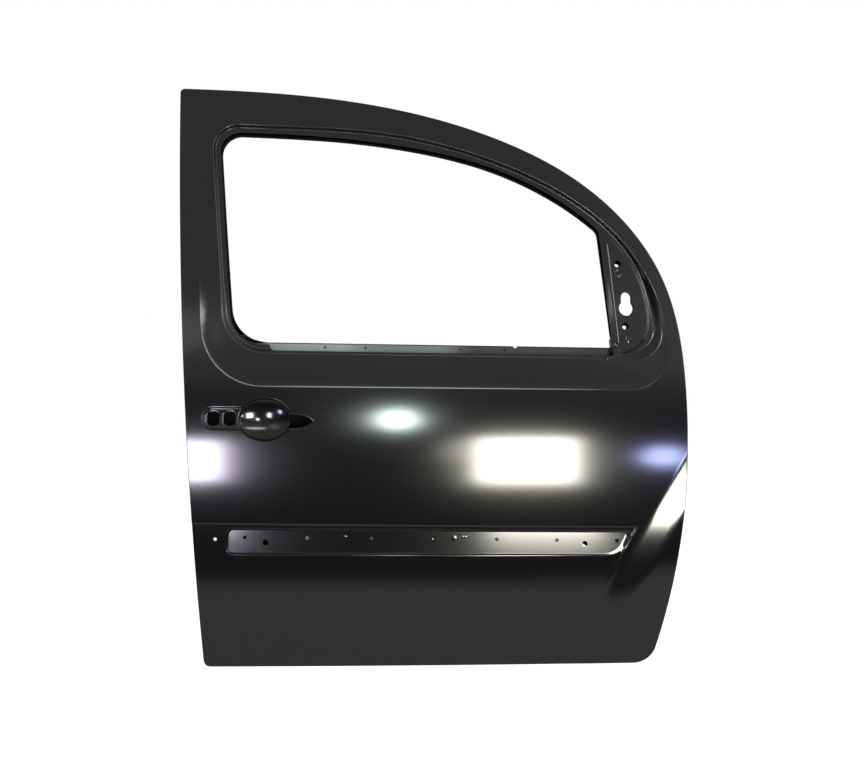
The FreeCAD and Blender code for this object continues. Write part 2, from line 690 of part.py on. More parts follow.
def new_sketch(body, plane, shapes):
    sketch = body.newObject("Sketcher::SketchObject", "Sketch")
    support = [f for f in body.Origin.OriginFeatures if f.Role == plane][0]
    sketch.AttachmentSupport = [(support, "")]
    sketch.MapMode = "FlatFace"
    for shape in shapes:
        if len(shape) == 4:
            add_rectangle(sketch, *shape)
        else:
            add_circle(sketch, *shape)
    return sketch


def sketched_body(label, steps, place, rounded=None):
    """Body made of pads and pockets; each step is (kind, plane, shapes, length)."""
    body = doc.addObject("PartDesign::Body", label)
    for kind, plane, shapes, length in steps:
        sketch = new_sketch(body, plane, shapes)
        step = body.newObject(f"PartDesign::{kind}", kind)
        step.Profile = sketch
        if length is None:
            step.Type = 1
            step.Midplane = True
        else:
            step.setExpression("Length", named(length))
        doc.recompute()
    if rounded:
        radius, chosen = rounded
        fillet = body.newObject("PartDesign::Fillet", "Fillet")
        edges = [f"Edge{i}" for i, e in enumerate(body.Tip.Shape.Edges, start=1) if chosen(e)]
        fillet.Base = (step, edges)
        fillet.Radius = radius
        doc.recompute()
    body.Placement = place
    return body


def corner_edge(axis, length):
    """Chooses straight edges along an axis that are exactly as long as the plate is thick."""
    def chosen(edge):
        straight = edge.Curve.TypeId == "Part::GeomLine"
        return straight and abs(getattr(edge.tangentAt(0), axis)) > 0.99 and abs(edge.Length - length) < 1e-3
    return chosen


def centred(width, height):
    """Rectangle about the sketch's origin, from two sizes of the sheet."""
    w, h = "{" + width + "}", "{" + height + "}"
    return f"-{w} / 2", f"-{h} / 2", w, h


def hinge_reinforcement(label, height):
    half = "{bolt_spacing} / 2"
    outer = centred("hinge_plate_width", "hinge_plate_height")
    room = "{bolt_hole} + {nut_room}"
    bolts = [("0.001 * {bolt_hole}", half, room), ("0.001 * {bolt_hole}", "-" + half, room)]
    steps = [("Pad", "YZ_Plane", [outer] + bolts, "{plate_gauge}")]
    place = Placement(Vector(-s.inner_gauge - GAP - s.plate_gauge, 0, height), Rotation())
    return sketched_body(label, steps, place, (8, corner_edge("x", s.plate_gauge)))


def strap_reinforcement():
    half = "{strap_bolt_spacing} / 2"
    outer = centred("strap_plate_width", "strap_plate_height")
    slot = centred("strap_slot_width", "strap_slot_height")
    room = "{strap_bolt_hole} + {nut_room}"
    bolts = [("0.001 * {bolt_hole}", half, room), ("0.001 * {bolt_hole}", "-" + half, room)]
    steps = [("Pad", "YZ_Plane", [outer, slot] + bolts, "{plate_gauge}")]
    place = Placement(Vector(-s.inner_gauge - GAP - s.plate_gauge, 0, -s.strap_drop), Rotation())
    return sketched_body("check_strap_reinforcement", steps, place, (5, corner_edge("x", s.plate_gauge)))


def latch_reinforcement():
    outer = centred("latch_plate_width", "latch_plate_height")
    mouth = centred("latch_slot_width", "latch_slot_height")
    across = "{latch_circle} / 2 * 0.8660254"
    screws = [("0.001 * {latch_hole}", "{latch_circle} / 2", "{latch_hole}")]
    screws += [(sign + across, "-{latch_circle} / 4", "{latch_hole}") for sign in ("", "-")]
    steps = [("Pad", "YZ_Plane", [outer, mouth] + screws, "{plate_gauge}")]
    inward = LATCH.multiply(Placement(Vector(s.inner_gauge + GAP, 0, 0), Rotation()))
    return sketched_body("latch_reinforcement", steps, inward, (8, corner_edge("x", s.plate_gauge)))


FRONT_INSIDE = -s.pad_rise - s.inner_gauge - GAP
BEAM_FRONT = FRONT_INSIDE - s.beam_end_gap
BEAM_REAR = rear_wall(s.beam_rear_height) + s.inner_gauge + s.beam_end_gap
BEAM_TILT = math.degrees(math.atan2(s.beam_front_height - s.beam_rear_height, BEAM_FRONT - BEAM_REAR))


def impact_beam():
    """Round tube that crosses the door low down."""
    length = math.hypot(BEAM_FRONT - BEAM_REAR, s.beam_front_height - s.beam_rear_height)
    sheet.set(f"B{len(SIZES) + 1}", str(length))
    sheet.set(f"A{len(SIZES) + 1}", "beam_length")
    sheet.setAlias(f"B{len(SIZES) + 1}", "beam_length")
    doc.recompute()
    tiny = "0.001 * {beam_wall}"
    rings = [(tiny, tiny, "{beam_diameter}"), (tiny, tiny, "{beam_diameter} - 2 * {beam_wall}")]
    steps = [("Pad", "YZ_Plane", rings, "{beam_length}")]
    rear_end = Vector(BEAM_REAR, s.beam_offset, s.beam_rear_height)
    place = Placement(rear_end, Rotation(Vector(0, 1, 0), -BEAM_TILT))
    return sketched_body("side_impact_beam", steps, place)


def beam_bracket(label, x, height, turn):
    """Angle bracket: a foot on the door wall and a tongue under the beam."""
    tongue = ("0.001 * {beam_wall}", "-{bracket_height} / 2", "{bracket_reach}", "{bracket_height}")
    foot = ("0.001 * {beam_wall}", "-{bracket_height} / 2", "{plate_gauge}", "{bracket_height}")
    steps = [("Pad", "XZ_Plane", [tongue], "{plate_gauge}"), ("Pad", "XZ_Plane", [foot], "{bracket_foot}")]
    y = s.beam_offset + s.beam_diameter / 2 + GAP + s.plate_gauge
    return sketched_body(label, steps, Placement(Vector(x, y, height), turn))


def glass_channel(label, x, height, lean, facing):
    """Folded U channel that guides the window's edge."""
    outer = ("-{channel_depth} / 2", "-{channel_width} / 2", "{channel_depth}", "{channel_width}")
    inner = ("-{channel_depth} / 2 + {channel_gauge}", "-{channel_width} / 2 + {channel_gauge}",
             "{channel_depth}", "{channel_width} - 2 * {channel_gauge}")
    steps = [("Pad", "XY_Plane", [outer], "{channel_length}"), ("Pocket", "XY_Plane", [inner], None)]
    y = s.waist_depth - s.hinge_inset - s.inner_gauge - GAP - s.belt_hat_depth - GAP - s.channel_width / 2
    turn = Rotation(Vector(0, 1, 0), lean).multiply(Rotation(Vector(0, 0, 1), 0 if facing > 0 else 180))
    return sketched_body(label, steps, Placement(Vector(x, y, height), turn))


def inner_belt():
    """Hat strip along the inner waist; its top edge lies just under the waist."""
    step = "({belt_hat_height} - {belt_hat_crown}) / 2"
    room = "{belt_hat_depth} - {belt_gauge}"
    block = ("0.001 * {belt_gauge}", "0.001 * {belt_gauge}", "{belt_hat_depth}", "{belt_hat_height}")
    lower = ("-1", "-1", room + " + 1", step + " + 1")
    upper = ("-1", step + " + {belt_hat_crown}", room + " + 1", step + " + 1")
    inside = "{belt_hat_crown} - 2 * {belt_gauge}"
    cavity = ("{belt_gauge}", step + " + {belt_gauge}", "{belt_hat_depth} + 1", inside)
    length = s.window_rear - s.window_front + 56
    notch = ("{window_rear} - 11 - {notch_setback}", "{belt_hat_height} + {belt_hat_drop}", "{notch_width}")
    drop = "{belt_hat_height} - {clip_hole_drop}"
    along = "{window_rear} - 11 - "
    holes = [(along + str(setback), drop, "{clip_hole}") for setback in (731, 642, 432, 335)]
    steps = [("Pad", "YZ_Plane", [block], str(length)), ("Pocket", "YZ_Plane", [lower, upper, cavity], None),
             ("Pocket", "XZ_Plane", [notch] + holes, None)]
    y = s.waist_depth - s.hinge_inset - s.inner_gauge - GAP - s.belt_hat_depth
    x = -s.window_rear + 11
    z = waist_at(x) - s.belt_hat_drop - s.belt_hat_height
    place = Placement(Vector(x, y, z), Rotation(Vector(0, 1, 0), WAIST_TILT))
    return sketched_body("inner_belt_reinforcement", steps, place)


FRONT_TURN = Rotation(Vector(0, 1, 0), 180)
REAR_TURN = Rotation(Vector(0, 1, 0), -REAR_TILT)
REAR_INSIDE = rear_wall(s.beam_rear_height) + s.inner_gauge + GAP
nodes = [
    feature("outer_panel", outer_panel()),
    *[feature(label, shape) for label, shape in inner_parts().items()],
    feature("outer_belt_reinforcement", belt_reinforcement()),
    feature("handle_reinforcement", handle_reinforcement()),
    feature("mirror_reinforcement", mirror_reinforcement()),
    inner_belt(),
    impact_beam(),
    beam_bracket("beam_front_bracket", FRONT_INSIDE, s.beam_front_height - 12, FRONT_TURN),
    beam_bracket("beam_rear_bracket", REAR_INSIDE, s.beam_rear_height + 12, REAR_TURN),
    hinge_reinforcement("upper_hinge_reinforcement", s.hinge_spread / 2),
    hinge_reinforcement("lower_hinge_reinforcement", -s.hinge_spread / 2),
    strap_reinforcement(),
    latch_reinforcement(),
    glass_channel("front_glass_channel", -s.window_front + 50, s.belt_height - s.channel_length, -6.1, -1),
    glass_channel("rear_glass_channel", -s.window_rear + 72, s.belt_height - s.channel_length, -4.8, 1),
]

doc.recompute()
os.makedirs("parts", exist_ok=True)
for node in nodes:
    if "Invalid" in node.State or "Error" in node.State:
        raise RuntimeError(f"{node.Label} is in state {node.State}")
    if node.Shape.isNull() or not node.Shape.isValid():
        raise RuntimeError(f"{node.Label} has no valid shape")
    node.Shape.exportStep(f"parts/{node.Label}.step")
    print(node.Label, len(node.Shape.Solids), round(node.Shape.Volume))
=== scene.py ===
import json
import math

import bpy
import numpy as np
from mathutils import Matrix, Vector
from mathutils.geometry import delaunay_2d_cdt


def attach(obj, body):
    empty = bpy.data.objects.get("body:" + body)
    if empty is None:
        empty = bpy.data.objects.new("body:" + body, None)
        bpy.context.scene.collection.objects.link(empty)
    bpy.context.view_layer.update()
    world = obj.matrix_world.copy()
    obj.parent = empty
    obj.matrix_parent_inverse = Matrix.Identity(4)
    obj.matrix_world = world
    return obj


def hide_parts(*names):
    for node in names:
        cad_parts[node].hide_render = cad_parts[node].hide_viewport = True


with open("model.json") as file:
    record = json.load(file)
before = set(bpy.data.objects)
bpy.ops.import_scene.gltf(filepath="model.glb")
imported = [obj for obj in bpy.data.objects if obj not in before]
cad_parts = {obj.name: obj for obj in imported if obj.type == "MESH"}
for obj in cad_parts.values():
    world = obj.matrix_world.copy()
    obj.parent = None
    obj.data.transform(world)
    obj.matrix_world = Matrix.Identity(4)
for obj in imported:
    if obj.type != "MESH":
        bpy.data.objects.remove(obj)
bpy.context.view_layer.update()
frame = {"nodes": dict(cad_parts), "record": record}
nodes = frame["nodes"]
MM = 0.001

# Sizes of the pressed outer skin, in millimetres and degrees
REAR, ROOF, SILL, NOSE = 1060.0, 859.0, 422.0, 59.0
WIDEST, LEAN, POWER, TUCK, INSET = 20.0, 140.0, 1.8, 40.0, 88.0
CROWN, FRONT_SWEEP, REAR_SWEEP = -620.0, 24.0, 6.0
GAUGE, HEM_HALF, HEM_WIDTH = 1.0, 1.65, 11.0
BELT, BELT_FALL = 268.5, 13.5
FLARE_LINE, FLARE_ANGLE, FLARE_RISE = ((-27, -110), (NOSE, 36)), 6.2, 6
FLARE_AT_SILL, FLARE_ABOVE, FLARE_RUN_OUT = 0.45, 0.55, 320
CREASE, CREASE_FALL, CREASE_ANGLE, CREASE_STEP, CREASE_REACH = -104, 9, 35, 1.5, 136
CREASE_END = (-46, -113)
SHOULDER, SHOULDER_REACH, SHOULDER_ANGLE, FADE_ANGLE = 188.0, 6, 6, 0.5
SEAT_DEPTH, SEAT_WALL, SEAT_WALL_MORE = 8.0, 9, 17
SAIL_RISE, SAIL_EDGE, SLOT_HEIGHT, SLOT_DEPTH = 2.5, 4.5, 120, 4.0
STRIP_HEIGHT, STRIP_DEPTH, STRIP_TILT = -145, 8.2, 0.3
STRIP_CROWN, STRIP_FRONT, STRIP_SWEEP = -590.0, -61.0, 10.8
SCOOP, SCOOP_HALF, SCOOP_DEPTH, SCOOP_WALL = (-855.0, 118.0), (59.0, 47.0), 17.0, 0.13
BOWL_RISE, BOWL_HALF = 60, (112, 90)


# Curves and outlines of the side view, as rows of (x, z)

def line(a, b):
    """Straight side between two points."""
    return np.array([a, b], float)


def spline(points, count=24):
    """Smooth curve through points, with count steps between each two."""
    p = np.array(points, float)
    t = np.concatenate([[0], np.cumsum(np.hypot(*np.diff(p, axis=0).T))])
    h = np.diff(t)
    n = len(p)
    matrix, right = np.eye(n), np.zeros((n, 2))
    right[0] = np.polyfit(t[:4] - t[0], p[:4], 3)[2]
    right[-1] = np.polyfit(t[-4:] - t[-1], p[-4:], 3)[2]
    for i in range(1, n - 1):
        matrix[i, i - 1], matrix[i, i + 1] = 1 / h[i - 1], 1 / h[i]
        matrix[i, i] = 2 / h[i - 1] + 2 / h[i]
        right[i] = 3 * ((p[i] - p[i - 1]) / h[i - 1] ** 2 + (p[i + 1] - p[i]) / h[i] ** 2)
    slope = np.linalg.solve(matrix, right)
    rows = []
    for i in range(n - 1):
        u = np.linspace(0, 1, count, endpoint=False)[:, None]
        rows.append((2 * u**3 - 3 * u**2 + 1) * p[i] + (u**3 - 2 * u**2 + u) * h[i] * slope[i]
                    + (3 * u**2 - 2 * u**3) * p[i + 1] + (u**3 - u**2) * h[i] * slope[i + 1])
    return np.vstack(rows + [p[-1:]])


def lengths(path):
    """Length along a path at each of its points."""
    return np.concatenate([[0], np.cumsum(np.hypot(*np.diff(path, axis=0).T))])


def part_of(path, start, end):
    """The stretch of a path between two lengths along it."""
    t = lengths(path)
    cut = np.concatenate([[start], t[(t > start + 1e-6) & (t < end - 1e-6)], [end]])
    return np.stack([np.interp(cut, t, path[:, k]) for k in (0, 1)], 1)


def resampled(loop, step):
    """The same loop with evenly spaced points."""
    closed = np.vstack([loop, loop[:1]])
    t = lengths(closed)
    at = np.linspace(0, t[-1], max(12, int(t[-1] / step)), endpoint=False)
    return np.stack([np.interp(at, t, closed[:, k]) for k in (0, 1)], 1)


def outline(sides, radii, step):
    """Closed loop of sides; radii[i] rounds the corner where side i starts."""
    def heading(path):
        d = path[-1] - path[0]
        return d / np.hypot(*d)

    trims = []
    for i, radius in enumerate(radii):
        before = heading(sides[i - 1][-2:])
        after = heading(sides[i][:2])
        turn = math.acos(np.clip(before @ after, -1, 1))
        trims.append(radius * math.tan(turn / 2))
    cut = []
    for i, side in enumerate(sides):
        total = lengths(side)[-1]
        cut.append(part_of(side, trims[i], total - trims[(i + 1) % len(sides)]))
    rows = []
    for i, radius in enumerate(radii):
        if radius > 0:
            p, q = cut[i - 1][-1], cut[i][0]
            d, e = heading(cut[i - 1][-2:]), heading(cut[i][:2])
            turn = math.acos(np.clip(d @ e, -1, 1))
            k = np.hypot(*(q - p)) / (2 * math.sin(turn / 2)) * 4 / 3 * math.tan(turn / 4)
            u = np.linspace(0, 1, 13)[1:-1, None]
            rows.append((1 - u) ** 3 * p + 3 * u * (1 - u) ** 2 * (p + k * d)
                        + 3 * u**2 * (1 - u) * (q - k * e) + u**3 * q)
        rows.append(cut[i][:-1] if radii[(i + 1) % len(radii)] == 0 else cut[i])
    return resampled(np.vstack(rows), step)


def circle(x, z, radius, count=28):
    a = np.linspace(0, 2 * math.pi, count, endpoint=False)
    return np.stack([x + radius * np.cos(a), z + radius * np.sin(a)], 1)


def rear_edge(z):
    u = (z + SILL) / (ROOF + SILL)
    return -REAR + 69 * (1 - u) - 24 * u * (1 - u)


def door_loop(step=4.5):
    roof, toe, heel = (-REAR, ROOF), (-17, -SILL + 7), (rear_edge(-SILL), -SILL)
    front = spline([roof, (-REAR + 364, ROOF - 29), (-REAR + 699, ROOF - 115), (-141, ROOF - 239),
                    (NOSE - 50, ROOF - 430), (NOSE - 1, 182), (NOSE - 6, -78), (NOSE - 54, -342), toe])
    z = np.linspace(-SILL, ROOF, 60)
    rear = np.stack([rear_edge(z), z], 1)
    return outline([front, line(toe, heel), rear], [9, 52, 14], step)


def window_loop(step=4.5):
    top = spline([(-967, 757), (-785, 749), (-583, 727), (-358, 672), (-202, 592), (-128, 532)])
    nose, step_foot = (-100, BELT - BELT_FALL), (-840, BELT - 1.4)
    step_top, heel = (-848, 281), (-927, 281)
    corners = [nose, step_foot, step_top, heel]
    foot = [line(a, b) for a, b in zip(corners, corners[1:])]
    return outline([top, line(top[-1], nose)] + foot + [line(heel, top[0])], [42, 26, 3, 2, 3, 72], step)


def seat_loop(step=3.0):
    top, foot = 774.0, BELT - 1
    toe, heel = (-6, foot - BELT_FALL), (-938, foot)
    edge = spline([(-983, top), (-760, top - 11), (-578, top - 28), (-363, top - 86), (-178, top - 180),
                   (-38, top - 329), (-6, foot + 82), toe])
    return outline([edge, line(toe, heel), line(heel, edge[0])], [52, 66, 92], step)


def sail_loop(step=2.5):
    top, foot, heel = (-128, 541), (-98.7, 255.7), (-114, 250)
    right = spline([top, (-61.6, 463), (-39.7, 420), (-27.6, 376), (-22.5, 342), (-26.6, 306), (-47, 276),
                    (-72.5, 262), foot])
    return outline([right, line(foot, heel), line(heel, top)], [0, 0, 0], step)


FADE = np.array([(-1002, SHOULDER + 272), (-282, SHOULDER + 476)], float)


def shoulder_loop(step=4.5):
    foot, toe, top = (-989, SHOULDER + 2), (26, SHOULDER - 8), ROOF + 80
    front = spline([toe, (19, SHOULDER + 88), (8, SHOULDER + 167), (-17, SHOULDER + 222),
                    (-75, SHOULDER + 319), (-183, SHOULDER + 424), FADE[1], (-420, SHOULDER + 542)])
    sides = [front, line(front[-1], (-420, top)), line((-420, top), (-1026, top)), line((-1026, top), foot),
             line(foot, toe)]
    return outline(sides, [75, 0, 0, 0, 135], step)


def corner_loop(corners, radii, step=2.5):
    sides = [line(a, b) for a, b in zip(corners, corners[1:] + corners[:1])]
    return outline(sides, radii, step)


def slot_loop(rear, front, half):
    radius = min(0.9 * half, 0.35 * (front - rear))
    top, low = SLOT_HEIGHT + half, SLOT_HEIGHT - half
    corners = [(rear, top), (front, top), (front, low), (rear, low)]
    return corner_loop(corners, [radius] * 4, 2)


def leaf_loop():
    x, z = SCOOP[0] + SCOOP_HALF[0], SCOOP[1] - 4
    top = spline([(x - 6, z + 15), (x + 10, z + 14.6), (x + 28, z + 11.2), (x + 47, z)])
    low = spline([(x + 47, z), (x + 28, z - 11.2), (x + 10, z - 14.6), (x - 6, z - 15)])
    return outline([top, low, line(low[-1], top[0])], [0, 3, 0], 2)


def keyhole_loop():
    """Round hole with a round-ended slot above it."""
    x, low, high, half, radius = -69.5, 360, 384, 12, 16.5
    turn = math.asin(half / radius)
    under = np.linspace(math.pi / 2 + turn, 2.5 * math.pi - turn, 40)
    over = np.linspace(0, math.pi, 22)
    return np.vstack([np.stack([x + radius * np.cos(under), low + radius * np.sin(under)], 1),
                      np.stack([x + half * np.cos(over), high + half * np.sin(over)], 1)])


# Height of the pressed skin

def body_side(x, z):
    """Y of the plain door side: tucked in below, leaning in above, swept in at both ends."""
    low = TUCK * (np.maximum(WIDEST - z, 0) / (WIDEST + SILL)) ** 2
    high = LEAN * (np.maximum(z - WIDEST, 0) / (ROOF - WIDEST)) ** POWER
    ahead = x - CROWN
    front = FRONT_SWEEP * (ahead / (NOSE - CROWN)) ** 2
    rear = REAR_SWEEP * (ahead / (REAR + CROWN)) ** 2
    sweep = np.where(ahead > 0, front, rear)
    return low + high + sweep - INSET


def ease(u):
    """Smooth step from 0 to 1."""
    u = np.clip(u, 0, 1)
    return u * u * u * (10 - 15 * u + 6 * u * u)


def soft_max(a, b, k):
    """The larger of two values, rounded where they are closer than k."""
    h = np.clip(0.5 + 0.5 * (a - b) / k, 0, 1)
    return b + (a - b) * h + k * h * (1 - h)


def soft_min(a, b, k):
    return -soft_max(-a, -b, k)


def bevel(u):
    """Straight slope from 0 to 1 with slightly rounded ends."""
    return soft_min(soft_max(u, 0 * u, 0.25), 1 + 0 * u, 0.25)


def beside(x, z, a, b):
    """Distance to the right of a line from a to b."""
    d = np.array(b, float) - np.array(a, float)
    d /= np.hypot(*d)
    return (x - a[0]) * d[1] - (z - a[1]) * d[0]


# Marks as x, z, radius and rise; three on the sail, the rest in the strip recess
MARKS = [(-83, 434, 5.5, 1.0), (-65, 291, 6.5, 1.0), (-90, 441, 4, -0.8), (-681, -135, 3, 0.25),
         (-447, -138, 6, 0.15), (-428, -136, 3, 0.2), (-422, -136, 3, 0.2), (-494, -141, 3, 0.12)]
BEAD = np.array([(-113, 500), (-92, 284)], float)
STRIP_RIM = [(-938.5, -116), (-50, -121.5), (-80, -177), (-938.5, -174)]
STRIP_FLOOR = [(-933.5, -121), (-73, -127), (-98, -172.5), (-933.5, -169)]
FEATURES = {"shoulder": shoulder_loop(), "seat": seat_loop(), "sail": sail_loop(),
            "strip": corner_loop(STRIP_RIM, [15, 4, 20, 15]),
            "strip_floor": corner_loop(STRIP_FLOOR, [11, 4, 43, 11]),
            "slot": slot_loop(-988.5, SCOOP[0], 23.5)}
FEATURES.update(rear_slot=slot_loop(-980, -953, 15), middle_slot=slot_loop(-944, -918, 15), leaf=leaf_loop())


def height(x, z, near):
    """Y of the skin; near holds each feature's signed distance, positive inside."""
    y = body_side(x, z)
    none = 0 * y
    # wheel-arch flare: a ramp up to a terrace that runs out towards the sill
    ahead = beside(x, z, *FLARE_LINE)
    climb = soft_min(ahead * math.tan(math.radians(FLARE_ANGLE)), none + FLARE_RISE, 1.0)
    y = y - soft_max(climb, none, 0.8) * (FLARE_AT_SILL + FLARE_ABOVE * ease((z + SILL) / FLARE_RUN_OUT))
    # crease
    below = CREASE - CREASE_FALL * np.clip((x + REAR) / (REAR + CREASE_END[0]), 0, 1.1) - z
    run_out = CREASE_STEP * (CREASE_REACH - below) / CREASE_REACH
    ledge = soft_min(below * math.tan(math.radians(CREASE_ANGLE)), run_out, 0.4)
    behind = -beside(x, z, (-120, -250), CREASE_END)
    y = y + soft_max(ledge, none, 0.12) * ease(behind / 7)
    # shoulder line, swept in above its sharp edge and fading upwards, window seat and the sail's pad
    fall = soft_max(beside(x, z, *FADE) * math.tan(math.radians(FADE_ANGLE)), none, 0.6)
    inward = np.maximum(near["shoulder"], 0) / SHOULDER_REACH
    sweep = SHOULDER_REACH * math.tan(math.radians(SHOULDER_ANGLE)) * (1 - np.exp(-inward))
    y = y + soft_min(fall, sweep, 0.3)
    wall = SEAT_WALL + SEAT_WALL_MORE * ease((x + 190) / 90) * ease((480 - z) / 120)
    y = y + SEAT_DEPTH * ease(near["seat"] / wall + 0.5)
    y = y - SAIL_RISE * ease((530 - z) / 60) * bevel(near["sail"] / SAIL_EDGE + 0.5)
    # strip recess with its upright floor, and handle slot
    bend = (x - STRIP_CROWN) / (STRIP_FRONT - STRIP_CROWN)
    floor = body_side(none + CROWN, none + STRIP_HEIGHT) + STRIP_DEPTH + STRIP_SWEEP * bend * bend
    floor = floor + (z - STRIP_HEIGHT) * math.tan(math.radians(STRIP_TILT))
    share = near["strip"] / np.maximum(near["strip"] - near["strip_floor"], 0.1)
    y = y + (floor - y) * ease(np.where(near["strip_floor"] > 0, 1, share))
    y = y + (body_side(x, z) + SLOT_DEPTH - y) * ease(near["slot"] / 5 + 0.5)
    for name in ("rear_slot", "middle_slot", "leaf"):
        y = y + 1.2 * ease(1 + near[name] / 2.5)
    # bead and punched marks on the mirror sail, marks in the strip recess
    along = np.clip((z - BEAD[1, 1]) / (BEAD[0, 1] - BEAD[1, 1]), 0, 1)
    bead = np.hypot(*[(x, z)[k] - BEAD[1, k] - along * (BEAD[0, k] - BEAD[1, k]) for k in (0, 1)])
    y = y - 1.0 * ease(1.5 - bead / 4)
    for mark_x, mark_z, radius, rise in MARKS:
        y = y - rise * ease(1.2 - np.hypot(x - mark_x, z - mark_z) / radius)
    # handle scoop: a shallow bowl inside a steep wall
    across, up = x - SCOOP[0], z - SCOOP[1]
    round_off = 1 - (across / BOWL_HALF[0]) ** 2 - (up / BOWL_HALF[1]) ** 2
    bottom = SCOOP_DEPTH - BOWL_RISE * (1 - np.sqrt(np.maximum(round_off, 0.05)))
    rim = SCOOP_DEPTH / SCOOP_WALL * (1 - np.hypot(across / SCOOP_HALF[0], up / SCOOP_HALF[1]))
    return soft_max(body_side(x, z) + soft_min(bottom, rim, 3.5), y, 1.4)


def signed(points, loop):
    """Signed distance to a closed loop, positive inside, and the way it grows."""
    x, z = points.T
    best = np.full(len(points), 1e18)
    away = np.zeros_like(points)
    inside = np.zeros(len(points), bool)
    for p, q in zip(loop, np.roll(loop, -1, 0)):
        d = q - p
        w = points - p
        t = np.clip(w @ d / (d @ d), 0, 1)
        v = w - t[:, None] * d
        square = (v * v).sum(1)
        closer = square < best
        best[closer] = square[closer]
        away[closer] = v[closer]
        if p[1] != q[1]:
            crosses = ((p[1] > z) != (q[1] > z)) & (x < d[0] * (z - p[1]) / d[1] + p[0])
            inside ^= crosses
    gap = np.sqrt(best)
    sign = np.where(inside, 1.0, -1.0)
    return sign * gap, sign[:, None] * away / np.maximum(gap, 1e-9)[:, None]


def surface(points):
    """Y and outward normal of the skin at points of the side view."""
    fields = {name: signed(points, loop) for name, loop in FEATURES.items()}

    def at(dx, dz):
        near = {name: d + g[:, 0] * dx + g[:, 1] * dz for name, (d, g) in fields.items()}
        return height(points[:, 0] + dx, points[:, 1] + dz, near)

    step = 0.25
    slope_x = (at(step, 0) - at(-step, 0)) / (2 * step)
    slope_z = (at(0, step) - at(0, -step)) / (2 * step)
    normal = np.stack([slope_x, -np.ones(len(points)), slope_z], 1)
    return at(0, 0), normal / np.linalg.norm(normal, axis=1)[:, None]


# The skin as a mesh

def loop_normals(loop):
    """Unit normals of a closed loop that point out of it."""
    d = np.roll(loop, -1, 0) - np.roll(loop, 1, 0)
    n = np.stack([d[:, 1], -d[:, 0]], 1)
    n /= np.hypot(*n.T)[:, None]
    area = np.sum(loop[:, 0] * np.roll(loop[:, 1], -1) - loop[:, 1] * np.roll(loop[:, 0], -1))
    return n if area > 0 else -n


DOOR = door_loop()
WINDOW = window_loop()
SAIL_HOLES = [circle(-87.5, 458, 7.5), circle(-72.5, 321, 7.5), keyhole_loop()]
STRIP_HOLES = [circle(x, z, r, 20) for x, z, r in
               [(-962, -140, 4), (-899, -137, 4), (-854, -148, 6), (-163.5, -151, 6), (-94, -145, 4)]]
SLOTS = [FEATURES[name] for name in ("rear_slot", "middle_slot", "leaf")]
HOLES = [WINDOW] + SAIL_HOLES + STRIP_HOLES + SLOTS


def inside_of(points, loop):
    """Which points lie inside a closed loop."""
    return signed(points, loop)[0] > 0


def thinned(layers, size=2.0):
    """Points of all layers in turn, without those closer than their layer's gap to an earlier one."""
    cells, kept = {}, []
    for points, gap in layers:
        reach = range(-math.ceil(gap / size), math.ceil(gap / size) + 1)
        for point in points:
            i, j = int(point[0] // size), int(point[1] // size)
            around = [q for di in reach for dj in reach for q in cells.get((i + di, j + dj), ())]
            if all((q[0] - point[0]) ** 2 + (q[1] - point[1]) ** 2 > gap * gap for q in around):
                cells.setdefault((i, j), []).append(point)
                kept.append(point)
    return np.array(kept)


def hexagons(low, high, step):
    """Even net of points between two corners."""
    x, z = np.arange(low[0], high[0], step), np.arange(low[1], high[1], 0.87 * step)
    x, z = np.meshgrid(x, z)
    x[1::2] += step / 2
    return np.stack([x, z], -1).reshape(-1, 2)


def rows_along(start, end, offsets, step):
    """Rows of points beside a straight line, at offsets to its right."""
    start, end = np.array(start, float), np.array(end, float)
    d = (end - start) / np.hypot(*(end - start))
    t = np.arange(0, np.hypot(*(end - start)), step)[:, None]
    return [start + t * d + offset * np.array([d[1], -d[0]]) for offset in offsets]


